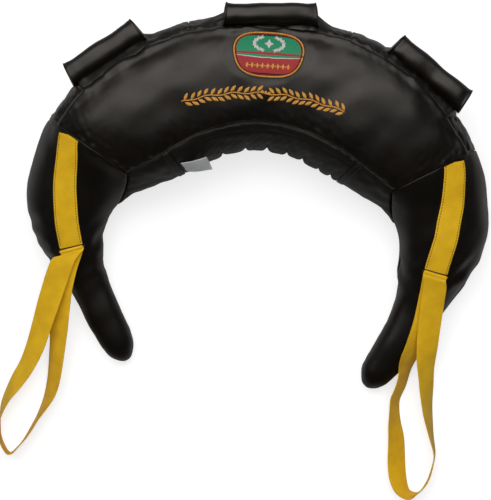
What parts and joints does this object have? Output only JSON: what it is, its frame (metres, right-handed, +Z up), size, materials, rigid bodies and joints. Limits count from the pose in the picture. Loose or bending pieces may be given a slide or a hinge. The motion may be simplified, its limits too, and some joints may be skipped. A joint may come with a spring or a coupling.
{
  "type": "bulgarian bag",
  "caption": "Crescent-shaped leather training bag filled with sand and wool, with rolled handles on its outer curve, webbing straps that end in hand loops, and tapered grips.",
  "frame": {"origin": "the middle of the crown's underside, on the floor that the bag lies on, under the crown's centreline", "axes": "+X to the right hand loop's side, +Y from the neck gap to the crown, +Z up, out of the front face"},
  "size_m": [0.6498, 0.6593, 0.1479],
  "materials": {
    "black_leather": "semi-gloss, soft grain",
    "lining_leather": "satin, gathered",
    "wool": "felt",
    "elastic": "woven elastic",
    "canvas": "plain weave",
    "sand": "dry sand",
    "grip_rubber": "matt",
    "foam": "closed-cell foam",
    "webbing": "woven webbing",
    "thread": "waxed thread",
    "badge": "embroidery",
    "label_satin": "satin ribbon"
  },
  "bodies": {
    "bag": {"front_panel": "black_leather", "back_panel": "black_leather", "left_outer_gusset": "black_leather", "center_outer_gusset": "black_leather", "right_outer_gusset": "black_leather", "left_inner_gusset": "lining_leather", "center_inner_gusset": "lining_leather", "right_inner_gusset": "lining_leather", "left_arm_front": "black_leather", "left_arm_back": "black_leather", "right_arm_front": "black_leather", "right_arm_back": "black_leather", "front_wadding": "wool", "back_wadding": "wool", "neck_elastic": "elastic", "left_sand_pouch": "canvas", "center_sand_pouch": "canvas", "right_sand_pouch": "canvas", "left_sand": "sand", "center_sand": "sand", "right_sand": "sand", "left_arm_wool": "wool", "right_arm_wool": "wool", "left_grip_core": "grip_rubber", "right_grip_core": "grip_rubber", "left_handle_welt": "black_leather", "center_handle_welt": "black_leather", "right_handle_welt": "black_leather", "left_strap": "webbing", "right_strap": "webbing", "left_tack_thread": "thread", "right_tack_thread": "thread", "front_badge": "badge"},
    "left_loop": {"left_strap_loop": "webbing"},
    "right_loop": {"right_strap_loop": "webbing"},
    "left_handle": {"left_handle_cover": "black_leather", "left_handle_core": "foam"},
    "center_handle": {"center_handle_cover": "black_leather", "center_handle_core": "foam"},
    "right_handle": {"right_handle_cover": "black_leather", "right_handle_core": "foam"},
    "label": {"care_label": "label_satin"}
  },
  "joints": [
    {"name": "left_loop_swing", "type": "hinge", "parent": "bag", "child": "left_loop", "pos_m": [-0.2464, -0.24221, 0.07326], "axis": [-0.9409, -0.3147, -0.1249], "range_deg": [0, 110]},
    {"name": "right_loop_swing", "type": "hinge", "parent": "bag", "child": "right_loop", "pos_m": [0.24458, -0.24211, 0.08528], "axis": [-0.9735, 0.2206, 0.0601], "range_deg": [0, 110]},
    {"name": "left_handle_fold", "type": "hinge", "parent": "bag", "child": "left_handle", "pos_m": [-0.21487, 0.02314, 0.09019], "axis": [-0.7705, -0.6374, 0], "range_deg": [0, 100], "stiffness_Nm_per_rad": 0.5},
    {"name": "center_handle_fold", "type": "hinge", "parent": "bag", "child": "center_handle", "pos_m": [0, 0.08998, 0.09988], "axis": [-1, 0, 0], "range_deg": [0, 100], "stiffness_Nm_per_rad": 0.5},
    {"name": "right_handle_fold", "type": "hinge", "parent": "bag", "child": "right_handle", "pos_m": [0.21516, 0.02348, 0.0882], "axis": [-0.7705, 0.6374, 0], "range_deg": [0, 100], "stiffness_Nm_per_rad": 0.5},
    {"name": "label_flap", "type": "hinge", "parent": "bag", "child": "label", "pos_m": [-0.1023, -0.12218, 0.1042], "axis": [0.2668, -0.2984, -0.9164], "range_deg": [-10, 75], "stiffness_Nm_per_rad": 0.01}
  ]
}
